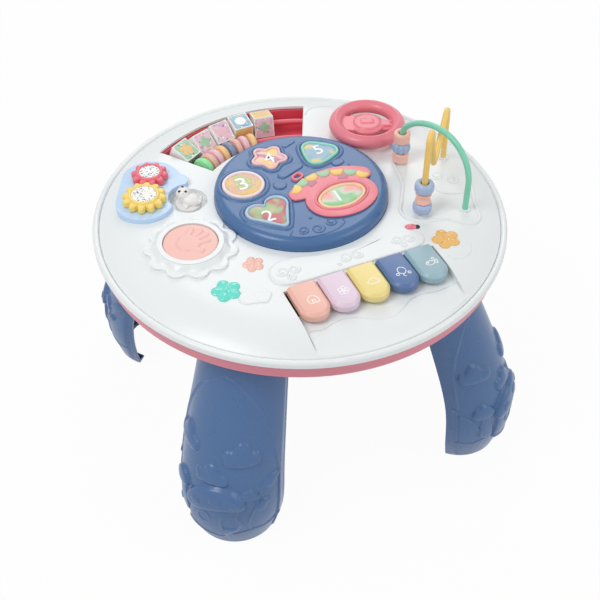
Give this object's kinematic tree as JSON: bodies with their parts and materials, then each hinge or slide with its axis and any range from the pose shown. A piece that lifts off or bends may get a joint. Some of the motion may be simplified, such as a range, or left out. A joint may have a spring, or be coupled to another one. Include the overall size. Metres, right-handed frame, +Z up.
{
  "type": "musical activity table",
  "caption": "Round toddler activity table on plug-in legs, with keys, light buttons, hand drum, gears, steering wheel, blocks, rings and bead wires.",
  "frame": {"origin": "on the floor, under the middle of the round top", "axes": "+Z up, the five keys face -Y, +X to the right of a child at the keys"},
  "size_m": [0.36, 0.36, 0.3148],
  "materials": {
    "white_plastic": "smooth semi-gloss",
    "pink_plastic": "satin",
    "leg_blue": "satin",
    "panel_blue": "satin",
    "coral_plastic": "satin",
    "cream_plastic": "satin",
    "light_blue_plastic": "satin",
    "pale_pink_plastic": "satin",
    "rose_plastic": "satin",
    "mint_plastic": "satin",
    "peach_plastic": "satin",
    "lilac_plastic": "satin",
    "yellow_plastic": "satin",
    "blue_plastic": "satin",
    "teal_plastic": "satin",
    "tray_red": "satin",
    "green_plastic": "satin",
    "seal_grey": "satin",
    "wire_yellow": "glossy sleeve",
    "wire_green": "glossy sleeve",
    "board_green": "solder mask",
    "rubber_grey": "soft",
    "steel": "bright",
    "battery_skin": "wrapped",
    "dark_plastic": "satin"
  },
  "bodies": {
    "table": {"top_shell": "white_plastic", "bottom_shell": "pink_plastic", "leg_front_left": "leg_blue", "leg_front_right": "leg_blue", "leg_back_left": "leg_blue", "leg_back_right": "leg_blue", "panel_dome": "panel_blue", "awning_plate": "coral_plastic", "gear_base": "light_blue_plastic", "block_tray": "tray_red", "block_axle": "coral_plastic", "ring_rod": "coral_plastic", "key_axle": "steel", "green_wire": "wire_green", "yellow_wire": "wire_yellow", "teal_flower": "mint_plastic", "peach_flower": "peach_plastic", "orange_flower": "yellow_plastic", "ladybird": "coral_plastic", "circuit_boards": "board_green", "contact_pads": "rubber_grey", "speaker": "dark_plastic", "batteries": "battery_skin", "battery_door": "pink_plastic", "screws": "steel"},
    "key_1": {"key_1": "peach_plastic"},
    "key_2": {"key_2": "lilac_plastic"},
    "key_3": {"key_3": "yellow_plastic"},
    "key_4": {"key_4": "blue_plastic"},
    "key_5": {"key_5": "teal_plastic"},
    "button_1": {"button_1": "cream_plastic"},
    "button_2": {"button_2": "light_blue_plastic"},
    "button_3": {"button_3": "pale_pink_plastic"},
    "button_4": {"button_4": "rose_plastic"},
    "button_5": {"button_5": "mint_plastic"},
    "drum_button": {"drum_button": "peach_plastic"},
    "steering_wheel": {"steering_wheel": "coral_plastic"},
    "gear_yellow": {"gear_yellow": "yellow_plastic"},
    "gear_red": {"gear_red": "coral_plastic"},
    "seal_turner": {"seal_turner": "seal_grey"},
    "block_1": {"block_1": "white_plastic"},
    "block_2": {"block_2": "yellow_plastic"},
    "block_3": {"block_3": "light_blue_plastic"},
    "block_4": {"block_4": "coral_plastic"},
    "block_5": {"block_5": "mint_plastic"},
    "ring_1": {"ring_1": "green_plastic"},
    "ring_2": {"ring_2": "peach_plastic"},
    "ring_3": {"ring_3": "rose_plastic"},
    "ring_4": {"ring_4": "yellow_plastic"},
    "ring_5": {"ring_5": "blue_plastic"},
    "ring_6": {"ring_6": "peach_plastic"},
    "ring_7": {"ring_7": "rose_plastic"},
    "ring_8": {"ring_8": "yellow_plastic"},
    "green_bead_low": {"green_bead_low": "peach_plastic"},
    "green_bead_mid": {"green_bead_mid": "blue_plastic"},
    "green_bead_top": {"green_bead_top": "peach_plastic"},
    "yellow_bead_low": {"yellow_bead_low": "blue_plastic"},
    "yellow_bead_mid": {"yellow_bead_mid": "peach_plastic"},
    "yellow_bead_top": {"yellow_bead_top": "blue_plastic"},
    "power_switch": {"power_switch": "dark_plastic"}
  },
  "joints": [
    {"name": "key_1_press", "type": "hinge", "parent": "table", "child": "key_1", "pos_m": [-0.0431, -0.0885, 0.2245], "axis": [1, 0, 0], "range_deg": [0, 4], "stiffness_Nm_per_rad": 0.3, "springref_deg": -2.86},
    {"name": "key_2_press", "type": "hinge", "parent": "table", "child": "key_2", "pos_m": [-0.0169, -0.0885, 0.2245], "axis": [1, 0, 0], "range_deg": [0, 4], "stiffness_Nm_per_rad": 0.3, "springref_deg": -2.86},
    {"name": "key_3_press", "type": "hinge", "parent": "table", "child": "key_3", "pos_m": [0.0093, -0.0885, 0.2245], "axis": [1, 0, 0], "range_deg": [0, 4], "stiffness_Nm_per_rad": 0.3, "springref_deg": -2.86},
    {"name": "key_4_press", "type": "hinge", "parent": "table", "child": "key_4", "pos_m": [0.0355, -0.0885, 0.2245], "axis": [1, 0, 0], "range_deg": [0, 4], "stiffness_Nm_per_rad": 0.3, "springref_deg": -2.86},
    {"name": "key_5_press", "type": "hinge", "parent": "table", "child": "key_5", "pos_m": [0.0617, -0.0885, 0.2245], "axis": [1, 0, 0], "range_deg": [0, 4], "stiffness_Nm_per_rad": 0.3, "springref_deg": -2.86},
    {"name": "button_1_press", "type": "slide", "parent": "table", "child": "button_1", "axis": [0, 0, 1], "range_m": [-0.0022, 0], "stiffness_N_per_m": 400, "springref_m": 0.001},
    {"name": "button_2_press", "type": "slide", "parent": "table", "child": "button_2", "axis": [0, 0, 1], "range_m": [-0.0022, 0], "stiffness_N_per_m": 400, "springref_m": 0.001},
    {"name": "button_3_press", "type": "slide", "parent": "table", "child": "button_3", "axis": [0, 0, 1], "range_m": [-0.0022, 0], "stiffness_N_per_m": 400, "springref_m": 0.001},
    {"name": "button_4_press", "type": "slide", "parent": "table", "child": "button_4", "axis": [0, 0, 1], "range_m": [-0.0022, 0], "stiffness_N_per_m": 400, "springref_m": 0.001},
    {"name": "button_5_press", "type": "slide", "parent": "table", "child": "button_5", "axis": [0, 0, 1], "range_m": [-0.0022, 0], "stiffness_N_per_m": 400, "springref_m": 0.001},
    {"name": "drum_press", "type": "slide", "parent": "table", "child": "drum_button", "axis": [0, 0, 1], "range_m": [-0.0022, 0], "stiffness_N_per_m": 500, "springref_m": 0.001},
    {"name": "wheel_spin", "type": "hinge", "parent": "table", "child": "steering_wheel", "pos_m": [0.0993, 0.0683, 0.234], "axis": [0, 0, 1], "continuous": true},
    {"name": "gear_yellow_spin", "type": "hinge", "parent": "table", "child": "gear_yellow", "pos_m": [-0.124, 0.0505, 0.24], "axis": [0, 0, 1], "continuous": true},
    {"name": "gear_red_spin", "type": "hinge", "parent": "table", "child": "gear_red", "pos_m": [-0.10975, 0.07871, 0.24], "axis": [0, 0, 1], "continuous": true},
    {"name": "seal_spin", "type": "hinge", "parent": "table", "child": "seal_turner", "pos_m": [-0.0876, 0.0416, 0.23], "axis": [0, 0, 1], "continuous": true},
    {"name": "block_1_spin", "type": "hinge", "parent": "table", "child": "block_1", "pos_m": [-0.06726, 0.11195, 0.2281], "axis": [-0.8572, -0.515, 0], "continuous": true},
    {"name": "block_2_spin", "type": "hinge", "parent": "table", "child": "block_2", "pos_m": [-0.04733, 0.12172, 0.2281], "axis": [-0.932, -0.3624, 0], "continuous": true},
    {"name": "block_3_spin", "type": "hinge", "parent": "table", "child": "block_3", "pos_m": [-0.02604, 0.12798, 0.2281], "axis": [-0.9799, -0.1994, 0], "continuous": true},
    {"name": "block_4_spin", "type": "hinge", "parent": "table", "child": "block_4", "pos_m": [-0.00399, 0.13054, 0.2281], "axis": [-0.9995, -0.0305, 0], "continuous": true},
    {"name": "block_5_spin", "type": "hinge", "parent": "table", "child": "block_5", "pos_m": [0.01818, 0.12933, 0.2281], "axis": [-0.9903, 0.1392, 0], "continuous": true},
    {"name": "ring_1_slide", "type": "hinge", "parent": "table", "child": "ring_1", "pos_m": [0, 0, 0.2281], "axis": [0, 0, 1], "range_deg": [-22, 0]},
    {"name": "ring_2_slide", "type": "hinge", "parent": "table", "child": "ring_2", "pos_m": [0, 0, 0.2281], "axis": [0, 0, 1], "range_deg": [-22, 0]},
    {"name": "ring_3_slide", "type": "hinge", "parent": "table", "child": "ring_3", "pos_m": [0, 0, 0.2281], "axis": [0, 0, 1], "range_deg": [-22, 0]},
    {"name": "ring_4_slide", "type": "hinge", "parent": "table", "child": "ring_4", "pos_m": [0, 0, 0.2281], "axis": [0, 0, 1], "range_deg": [-22, 0]},
    {"name": "ring_5_slide", "type": "hinge", "parent": "table", "child": "ring_5", "pos_m": [0, 0, 0.2281], "axis": [0, 0, 1], "range_deg": [-22, 0]},
    {"name": "ring_6_slide", "type": "hinge", "parent": "table", "child": "ring_6", "pos_m": [0, 0, 0.2281], "axis": [0, 0, 1], "range_deg": [-22, 0]},
    {"name": "ring_7_slide", "type": "hinge", "parent": "table", "child": "ring_7", "pos_m": [0, 0, 0.2281], "axis": [0, 0, 1], "range_deg": [-22, 0]},
    {"name": "ring_8_slide", "type": "hinge", "parent": "table", "child": "ring_8", "pos_m": [0, 0, 0.2281], "axis": [0, 0, 1], "range_deg": [-22, 0]},
    {"name": "green_bead_low_spin", "type": "hinge", "parent": "table", "child": "green_bead_low", "pos_m": [0.1065, 0.0155, 0.25], "axis": [0, 0, 1], "continuous": true},
    {"name": "green_bead_mid_spin", "type": "hinge", "parent": "table", "child": "green_bead_mid", "pos_m": [0.1065, 0.0155, 0.25], "axis": [0, 0, 1], "continuous": true},
    {"name": "green_bead_top_spin", "type": "hinge", "parent": "table", "child": "green_bead_top", "pos_m": [0.1065, 0.0155, 0.25], "axis": [0, 0, 1], "continuous": true},
    {"name": "yellow_bead_low_slide", "type": "slide", "parent": "table", "child": "yellow_bead_low", "axis": [0.0133, 0.0144, 0.9998], "range_m": [0, 0.026]},
    {"name": "yellow_bead_mid_slide", "type": "slide", "parent": "table", "child": "yellow_bead_mid", "axis": [0.0133, 0.0144, 0.9998], "range_m": [0, 0.026]},
    {"name": "yellow_bead_top_slide", "type": "slide", "parent": "table", "child": "yellow_bead_top", "axis": [0.0133, 0.0144, 0.9998], "range_m": [0, 0.026]},
    {"name": "power_slide", "type": "slide", "parent": "table", "child": "power_switch", "axis": [1, 0, 0], "range_m": [0, 0.004]}
  ],
  "couplings": [
    {"joint": "gear_red_spin", "follows": "gear_yellow_spin", "ratio": -1.2},
    {"joint": "ring_2_slide", "follows": "ring_1_slide", "ratio": 1},
    {"joint": "ring_3_slide", "follows": "ring_1_slide", "ratio": 1},
    {"joint": "ring_4_slide", "follows": "ring_1_slide", "ratio": 1},
    {"joint": "ring_5_slide", "follows": "ring_1_slide", "ratio": 1},
    {"joint": "ring_6_slide", "follows": "ring_1_slide", "ratio": 1},
    {"joint": "ring_7_slide", "follows": "ring_1_slide", "ratio": 1},
    {"joint": "ring_8_slide", "follows": "ring_1_slide", "ratio": 1},
    {"joint": "yellow_bead_mid_slide", "follows": "yellow_bead_low_slide", "ratio": 1},
    {"joint": "yellow_bead_top_slide", "follows": "yellow_bead_low_slide", "ratio": 1}
  ]
}
